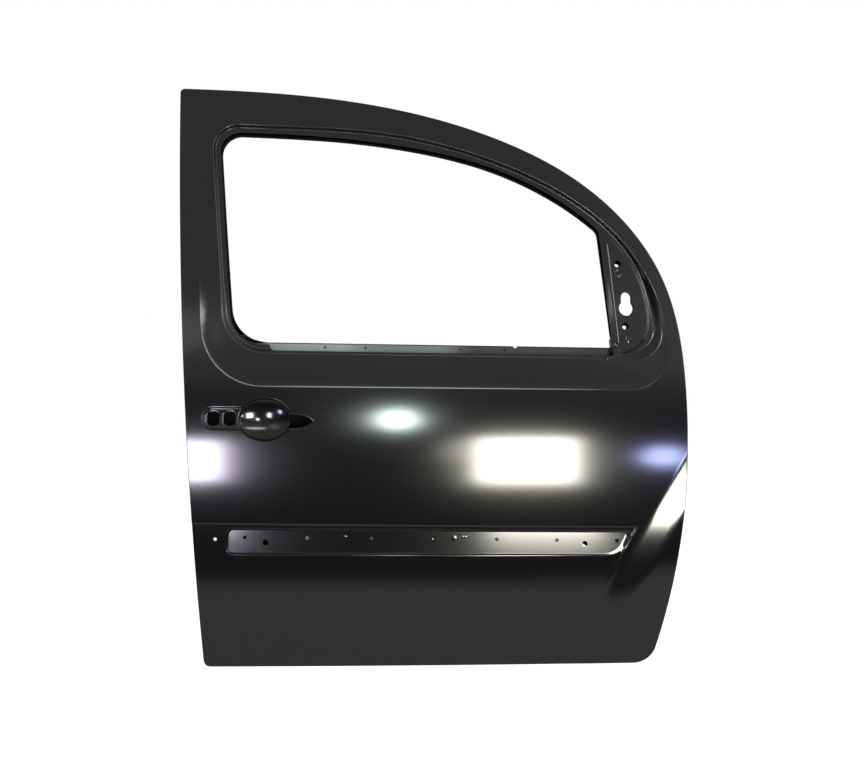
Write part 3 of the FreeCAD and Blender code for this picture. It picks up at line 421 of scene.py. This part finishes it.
def skin_points(edge):
    """Points of the side view, close together where the skin bends."""
    fine, seat_rows = [], []
    for name, loop in FEATURES.items():
        away = loop_normals(loop)
        if name == "seat":
            seat_rows += [loop + away * offset for offset in np.arange(-16.2, 16.3, 1.8)]
            continue
        offsets = (-4.6, -3.2, -2.2, -1.3, -0.4, 0.4, 1.3, 2.2, 3.2, 4.6)
        rows = np.vstack([loop + away * offset for offset in offsets])
        if name == "shoulder":
            rows = rows[np.abs(signed(rows, FEATURES["seat"])[0]) > 18]
        if name == "sail":
            rows = rows[np.abs(signed(rows, FEATURES["seat"])[0]) > 17]
        fine.append(rows)
    across = (-4, -1.5, -0.6, -0.2, 0.2, 0.6, 1.0, 1.4, 1.8, 2.2, 2.8, 4, 7)
    fine += rows_along((-REAR, CREASE), (-50, CREASE_END[1]), across, 6)
    across = (-9, -6, -3, -1, 1, 3, 6, 9)
    fine += rows_along((NOSE + 20, 70), (-60, -166), across, 6)
    fine += rows_along(CREASE_END, (-150, -305), across, 6)
    fine += rows_along(BEAD[0], BEAD[1], (-6, -4.5, -3, -1.8, -0.6, 0.6, 1.8, 3, 4.5, 6), 3)
    for ring in np.concatenate([np.linspace(0.06, 0.78, 12), np.linspace(0.81, 1.1, 22), [1.15, 1.22]]):
        unit = circle(0, 0, 1, max(8, int(ring * 110)))
        fine.append(np.array(SCOOP) + unit * np.array(SCOOP_HALF) * ring)
    shares = (0.25, 0.5, 0.75, 1.0, 1.25)
    marks = [circle(x, z, radius * share, 14) for x, z, radius, _ in MARKS for share in shares]
    sail = hexagons((-200, 240), (30, 620), 3.2)
    from_seat = np.abs(signed(sail, FEATURES["seat"])[0])
    sail = sail[(from_seat < 70) & (from_seat > 17.5)]
    layers = [(np.vstack(marks), 0.7), (np.vstack(fine), 0.8), (np.vstack(seat_rows), 1.2), (sail, 2.2),
              (hexagons((-REAR, -SILL), (NOSE + 10, ROOF), 11), 6)]
    chosen = []
    for points, gap in layers:
        good = signed(points, edge)[0] > 2.2
        for loop in HOLES:
            good &= signed(points, loop)[0] < -0.8
        chosen.append((points[good], gap))
    return thinned(chosen)


def build_skin():
    """Front and back of the skin, the rims of its openings and its hemmed edge."""
    out = loop_normals(DOOR)
    edge = DOOR - out * HEM_HALF
    loops = [edge] + HOLES
    points = np.vstack(loops + [skin_points(edge)])
    links, start = [], 0
    for loop in loops:
        n = len(loop)
        links += [(start + i, start + (i + 1) % n) for i in range(n)]
        start += n
    verts, _, faces, *_ = delaunay_2d_cdt([Vector(p) for p in points], links, [], 0, 1e-4)
    flat = np.array([v[:] for v in verts])
    tris = np.array([f[:] for f in faces])
    middle = flat[tris].mean(1)
    good = inside_of(middle, edge)
    for loop in HOLES:
        good &= ~inside_of(middle, loop)
    tris = tris[good]
    d1, d2 = flat[tris[:, 1]] - flat[tris[:, 0]], flat[tris[:, 2]] - flat[tris[:, 0]]
    turned = d1[:, 0] * d2[:, 1] - d1[:, 1] * d2[:, 0] < 0
    tris[turned] = tris[turned][:, ::-1]
    y, normal = surface(flat)
    front = np.stack([flat[:, 0], y, flat[:, 1]], 1)
    parts = [(front, tris, normal), (front - normal * GAUGE, tris[:, ::-1], -normal)]

    def band(rows, normals):
        """Strip of quads between closed rows of points."""
        n = len(rows[0])
        i = np.arange(n)
        j = (i + 1) % n
        quads = []
        for r in range(len(rows) - 1):
            quads.append(np.stack([r * n + i, r * n + j, (r + 1) * n + j, (r + 1) * n + i], 1))
        return np.vstack(rows), np.vstack(quads), np.vstack(normals)

    for loop in HOLES:
        y, normal = surface(loop)
        row = np.stack([loop[:, 0], y, loop[:, 1]], 1)
        inward = -loop_normals(loop)
        side = np.stack([inward[:, 0], np.zeros(len(loop)), inward[:, 1]], 1)
        parts.append(band([row, row - normal * GAUGE], [side, side]))
    y, normal = surface(edge)
    row = np.stack([edge[:, 0], y, edge[:, 1]], 1)
    side = np.stack([out[:, 0], np.zeros(len(edge)), out[:, 1]], 1)
    rows, normals = [], []
    for turn in np.radians(np.linspace(0, 180, 9)):
        facing = normal * math.cos(turn) + side * math.sin(turn)
        rows.append(row - normal * HEM_HALF + facing * HEM_HALF)
        normals.append(facing)
    fold = DOOR - out * HEM_WIDTH
    y, back = surface(fold)
    last = np.stack([fold[:, 0], y, fold[:, 1]], 1) - back * HEM_HALF * 2
    parts.append(band(rows + [last], normals + [-back]))
    parts.append(band([last, last + back * GAUGE], [-side, -side]))

    mesh = bpy.data.meshes.new("outer_skin")
    total, all_faces = 0, []
    for points, polygons, _ in parts:
        all_faces += [tuple(int(k) + total for k in f) for f in polygons]
        total += len(points)
    coords = np.vstack([p for p, _, _ in parts]) * MM
    facing = np.vstack([n for _, _, n in parts])
    mesh.from_pydata(coords.tolist(), [], all_faces)
    mesh.polygons.foreach_set("use_smooth", [True] * len(mesh.polygons))
    mesh.normals_split_custom_set_from_vertices(facing.tolist())
    obj = bpy.data.objects.new("outer_skin", mesh)
    bpy.context.collection.objects.link(obj)
    return obj


# Materials

def ramp(tree, stops):
    """Colour ramp of stops, by position."""
    node = tree.nodes.new("ShaderNodeValToRGB")
    elements = node.color_ramp.elements
    while len(elements) < len(stops):
        elements.new(0.5)
    for element, (position, colour) in zip(elements, stops):
        element.position = position
        element.color = (*colour, 1)
    return node


def map_range(tree, source, low, high, to_low=0.0, to_high=1.0):
    """Smooth change from one value to another as the source goes from low to high."""
    node = tree.nodes.new("ShaderNodeMapRange")
    node.interpolation_type = "SMOOTHSTEP"
    for name, value in (("From Min", low), ("From Max", high), ("To Min", to_low), ("To Max", to_high)):
        node.inputs[name].default_value = value
    tree.links.new(source, node.inputs["Value"])
    return node.outputs["Result"]


def coated_steel(name, colour, roughness, drawn=0.0, grain=0.05):
    """Steel under electrocoat: dark, with a fine uneven gloss that may be drawn out sideways."""
    material = bpy.data.materials.new(name)
    material.use_nodes = True
    tree = material.node_tree
    shader = tree.nodes["Principled BSDF"]
    shader.inputs["Base Color"].default_value = (*colour, 1)
    shader.inputs["Roughness"].default_value = roughness
    shader.inputs["Anisotropic"].default_value = drawn
    if drawn:
        tangent = tree.nodes.new("ShaderNodeTangent")
        tangent.direction_type = "RADIAL"
        tangent.axis = "Z"
        tree.links.new(tangent.outputs["Tangent"], shader.inputs["Tangent"])
    place = tree.nodes.new("ShaderNodeTexCoord")
    noise = tree.nodes.new("ShaderNodeTexNoise")
    noise.inputs["Scale"].default_value = 420
    noise.inputs["Detail"].default_value = 2
    bump = tree.nodes.new("ShaderNodeBump")
    bump.inputs["Strength"].default_value = grain
    bump.inputs["Distance"].default_value = 0.0002
    tree.links.new(place.outputs["Object"], noise.inputs["Vector"])
    tree.links.new(noise.outputs["Fac"], bump.inputs["Height"])
    tree.links.new(bump.outputs["Normal"], shader.inputs["Normal"])
    return material


def matt_behind(material, low, high):
    """Semi-gloss on faces that look inboard, matt black in the hollow behind the skin and on reveals."""
    tree = material.node_tree
    shader = tree.nodes["Principled BSDF"]
    geometry = tree.nodes.new("ShaderNodeNewGeometry")
    split = tree.nodes.new("ShaderNodeSeparateXYZ")
    tree.links.new(geometry.outputs["Normal"], split.inputs[0])
    shader.inputs["Specular IOR Level"].default_value = 0.03
    shader.inputs["Coat Roughness"].default_value = 0.32
    tree.links.new(map_range(tree, split.outputs["Y"], low, high), shader.inputs["Coat Weight"])


def along_door(material, stops):
    """Colour that changes along the door, by x in metres; used to paint reflection and light into a colour.
    """
    tree = material.node_tree
    shader = tree.nodes["Principled BSDF"]
    place = tree.nodes.new("ShaderNodeNewGeometry")
    split = tree.nodes.new("ShaderNodeSeparateXYZ")
    tree.links.new(place.outputs["Position"], split.inputs[0])
    along = tree.nodes.new("ShaderNodeMapRange")
    along.inputs["From Min"].default_value = -1.0
    along.inputs["From Max"].default_value = 0.0
    tree.links.new(split.outputs["X"], along.inputs["Value"])
    colours = ramp(tree, [(1 + x, colour) for x, colour in stops])
    tree.links.new(along.outputs["Result"], colours.inputs["Fac"])
    tree.links.new(colours.outputs["Color"], shader.inputs["Base Color"])


OUTER = coated_steel("outer_ecoat", (0.004, 0.004, 0.004), 0.1, 0.1, 0.008)
INNER = coated_steel("inner_ecoat", (0.01, 0.01, 0.011), 0.6)
FRAME = coated_steel("frame_ecoat", (0.004, 0.004, 0.004), 0.8)
ZINC_AND_PAINTED_REFLECTION = coated_steel("zinc_steel", (0.04, 0.045, 0.044), 0.5)
matt_behind(INNER, -0.4, 0.1)
matt_behind(FRAME, 0.5, 0.85)
PLUGS_AND_PAINTED_BACKLIGHT = coated_steel("plug_and_painted_backlight", (0.2, 0.2, 0.2), 0.6)
ZINC_AND_PAINTED_REFLECTION.node_tree.nodes["Principled BSDF"].inputs["Specular IOR Level"].default_value = 0.2
# Painted reflection: the zinc steel's colour runs from pale green-grey at the rear to near black towards the
# front, standing in for a reflection on the rail.
along_door(ZINC_AND_PAINTED_REFLECTION, [(-0.86, (0.22, 0.26, 0.25)), (-0.69, (0.25, 0.29, 0.28)), (-0.63, (0.14, 0.18, 0.17)),
                  (-0.47, (0.14, 0.17, 0.17)), (-0.41, (0.035, 0.035, 0.035)), (-0.1, (0.03, 0.03, 0.03))])
# Painted light: the rearmost plug, which fills the rear strip hole, is painted white for light seen through
# the hole. The others change from grey to near black and back along the door.
along_door(PLUGS_AND_PAINTED_BACKLIGHT, [(-0.95, (0.9, 0.9, 0.9)), (-0.8, (0.13, 0.14, 0.14)), (-0.7, (0.03, 0.03, 0.03)),
                   (-0.3, (0.03, 0.035, 0.03)), (-0.25, (0.08, 0.09, 0.08))])
BY_SLOT = {"outer_ecoat": OUTER, "inner_ecoat": INNER, "zinc_steel": ZINC_AND_PAINTED_REFLECTION, "beam_steel": INNER}
for row in frame["record"]["subparts"]:
    mesh = nodes[row["node"]].data
    mesh.materials.clear()
    mesh.materials.append(FRAME if row["node"] == "window_frame" else BY_SLOT[row["material_slot"]])

skin = build_skin()
skin.data.materials.append(OUTER)
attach(skin, "root")
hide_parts("outer_panel")


# The first plug fills the rear strip hole; its colour is painted white as light seen through that hole.
PLUG_PLACES = [(-962, -140, 3.6), (-764, -138, 4.4), (-625, -139, 4), (-354, -141, 4), (-224, -143, 4.2)]
PLUG_SIDES = 16


def build_plugs():
    """Low domed plugs in and beside the strip recess."""
    verts, faces = [], []
    for x, z, radius in PLUG_PLACES:
        y, _ = surface(np.array([[x, z]], float))
        start = len(verts)
        for share, rise in ((1, -0.6), (0.95, 0.3), (0.5, 0.7)):
            ring = circle(x, z, radius * share, PLUG_SIDES)
            verts += [(p * MM, (y[0] - rise) * MM, q * MM) for p, q in ring]
        for low in (start, start + PLUG_SIDES):
            high = low + PLUG_SIDES
            for i in range(PLUG_SIDES):
                j = (i + 1) % PLUG_SIDES
                faces.append((low + i, low + j, high + j, high + i))
        faces.append(tuple(range(start + 2 * PLUG_SIDES, start + 3 * PLUG_SIDES)))
    mesh = bpy.data.meshes.new("strip_plugs_with_painted_backlight")
    mesh.from_pydata(verts, [], faces)
    mesh.polygons.foreach_set("use_smooth", [True] * len(mesh.polygons))
    mesh.materials.append(PLUGS_AND_PAINTED_BACKLIGHT)
    obj = bpy.data.objects.new("strip_plugs_with_painted_backlight", mesh)
    bpy.context.collection.objects.link(obj)
    return obj


plugs = build_plugs()
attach(plugs, "root")


# Camera: straight at the outside of the door, in metres; focal length and width in pixels

CAMERA_PLACE = (-0.492, -3.288, 0.2)
SENSOR_MM, FOCAL_PX, WIDTH_PX = 36, 1488.4, 866
camera = bpy.data.objects.new("camera", bpy.data.cameras.new("camera"))
bpy.context.collection.objects.link(camera)
camera.location = CAMERA_PLACE
camera.rotation_euler = (math.radians(90), 0, 0)
camera.data.sensor_width = SENSOR_MM
camera.data.lens = SENSOR_MM * FOCAL_PX / WIDTH_PX
bpy.context.scene.camera = camera


# Pale floor and studio light

def hang_lamp(spot, way, size, glow, colour, away=12.0, shape="ELLIPSE"):
    """Oval or square-cornered lamp seen from a spot in one direction; glow is its brightness."""
    light = bpy.data.lights.new("lamp", "AREA")
    light.shape = shape
    light.size, light.size_y = size
    light.energy = glow * math.pi * size[0] * size[1] * (math.pi / 4 if shape == "ELLIPSE" else 1)
    light.color = colour
    obj = bpy.data.objects.new("lamp", light)
    bpy.context.collection.objects.link(obj)
    obj.location = spot + way * away
    obj.rotation_euler = (-way).to_track_quat("-Z", "Y").to_euler()


def mirrored_lamp(x, z, size, glow, colour, shape="ELLIPSE"):
    """Lamp whose mirror image in the skin lies at a point of the side view."""
    y, normal = surface(np.array([[x, z]], float))
    spot = Vector((x, y[0], z)) * MM
    facing = Vector(normal[0])
    ray = (spot - camera.location).normalized()
    hang_lamp(spot, ray - 2 * ray.dot(facing) * facing, size, glow, colour, shape=shape)


def lamp_towards(azimuth, elevation, size, glow, colour):
    """Lamp in front of the handle, by its direction in degrees."""
    turn, rise = math.radians(azimuth), math.radians(elevation)
    way = Vector((math.sin(turn) * math.cos(rise), -math.cos(turn) * math.cos(rise), math.sin(rise)))
    hang_lamp(Vector((SCOOP[0], -80, SCOOP[1])) * MM, way, size, glow, colour)


# Lamps mirrored in the body side, from the rear edge to the nose, then those seen in the recesses and edges
LILAC, MINT, CREAM, BLUE = (0.86, 0.8, 1.0), (0.85, 1.0, 0.97), (1.0, 0.98, 0.85), (0.5, 0.55, 1.0)
VIOLET, PALE_GREEN, WHITE, ROSE = (0.75, 0.7, 1.0), (0.9, 1.0, 0.92), (1.0, 1.0, 0.97), (1.0, 0.86, 0.78)
mirrored_lamp(-1008, 30.5, (0.72, 1.5), 60, LILAC, "RECTANGLE")
mirrored_lamp(-569.5, 118, (0.65, 0.66), 60, MINT)
mirrored_lamp(-289, 31, (1.6, 1.72), 50, CREAM, "RECTANGLE")
mirrored_lamp(-436, 50, (0.5, 1.0), 5, CREAM)
mirrored_lamp(8, 36, (0.62, 0.87), 44, BLUE)
lamp_towards(-26, -8.5, (0.9, 1.4), 30, VIOLET)
lamp_towards(3.5, 20, (5.2, 0.7), 11, PALE_GREEN)
lamp_towards(-19, 17, (3.0, 1.7), 1.0, WHITE)
lamp_towards(58, 14, (2.6, 10.0), 7, WHITE)
lamp_towards(-80, 8, (1.8, 6.0), 5, ROSE)


def studio_world():
    """White behind the door; in front of it grey above, dark at eye height."""
    world = bpy.data.worlds.new("studio")
    bpy.context.scene.world = world
    world.use_nodes = True
    tree = world.node_tree
    place = tree.nodes.new("ShaderNodeTexCoord")
    split = tree.nodes.new("ShaderNodeSeparateXYZ")
    tree.links.new(place.outputs["Generated"], split.inputs[0])
    half = tree.nodes.new("ShaderNodeMath")
    half.operation = "MULTIPLY_ADD"
    half.inputs[1].default_value = 0.5
    half.inputs[2].default_value = 0.5
    tree.links.new(split.outputs["Z"], half.inputs[0])
    room = ramp(tree, [(0.32, (0.72, 0.72, 0.76)), (0.36, (0.05, 0.05, 0.05)), (0.52, (0.05, 0.05, 0.05)),
                       (0.57, (0.17, 0.17, 0.16)), (0.6, (0.5, 0.5, 0.47)), (1.0, (0.52, 0.52, 0.48))])
    tree.links.new(half.outputs["Value"], room.inputs["Fac"])
    bright = tree.nodes.new("ShaderNodeVectorMath")
    bright.operation = "SCALE"
    tree.links.new(room.outputs["Color"], bright.inputs[0])
    tree.links.new(map_range(tree, split.outputs["X"], 0.1, 0.5, 1.0, 2.2), bright.inputs["Scale"])
    mix = tree.nodes.new("ShaderNodeMix")
    mix.data_type = "RGBA"
    tree.links.new(map_range(tree, split.outputs["Y"], 0.1, 0.5), mix.inputs["Factor"])
    tree.links.new(bright.outputs["Vector"], mix.inputs["A"])
    path = tree.nodes.new("ShaderNodeLightPath")
    tree.links.new(map_range(tree, path.outputs["Is Camera Ray"], 0, 1, 0.3, 1.0), mix.inputs["B"])
    background = tree.nodes["Background"]
    tree.links.new(mix.outputs["Result"], background.inputs["Color"])


def pale_floor():
    """Floor that is pale to the eye; two metres in front of the door it turns dark and falls away."""
    mesh = bpy.data.meshes.new("floor")
    level, far, drop = -0.9, 30, -6.8
    profile = ((far, level), (-2.4, level), (-far, drop))
    verts = [(x, y, z) for y, z in profile for x in (-far, far)]
    mesh.from_pydata(verts, [], [(0, 2, 3, 1), (2, 4, 5, 3)])
    material = bpy.data.materials.new("pale_floor")
    material.use_nodes = True
    tree = material.node_tree
    shader = tree.nodes["Principled BSDF"]
    shader.inputs["Roughness"].default_value = 0.9
    shader.inputs["Specular IOR Level"].default_value = 0.0
    path = tree.nodes.new("ShaderNodeLightPath")
    place = tree.nodes.new("ShaderNodeTexCoord")
    split = tree.nodes.new("ShaderNodeSeparateXYZ")
    tree.links.new(place.outputs["Object"], split.inputs[0])
    near = map_range(tree, split.outputs["Y"], -2.35, -1.75, 0.04, 1.0)
    pale = tree.nodes.new("ShaderNodeMath")
    pale.operation = "MAXIMUM"
    tree.links.new(near, pale.inputs[0])
    tree.links.new(path.outputs["Is Camera Ray"], pale.inputs[1])
    tint = tree.nodes.new("ShaderNodeVectorMath")
    tint.operation = "SCALE"
    tint.inputs[0].default_value = (0.86, 0.86, 0.92)
    tree.links.new(pale.outputs["Value"], tint.inputs["Scale"])
    tree.links.new(tint.outputs["Vector"], shader.inputs["Base Color"])
    shader.inputs["Emission Color"].default_value = (1, 1, 1, 1)
    lift = map_range(tree, path.outputs["Is Camera Ray"], 0, 1, 0.0, 0.6)
    tree.links.new(lift, shader.inputs["Emission Strength"])
    mesh.materials.append(material)
    obj = bpy.data.objects.new("floor", mesh)
    bpy.context.collection.objects.link(obj)


studio_world()
pale_floor()

bpy.context.scene.view_settings.view_transform = "Standard"
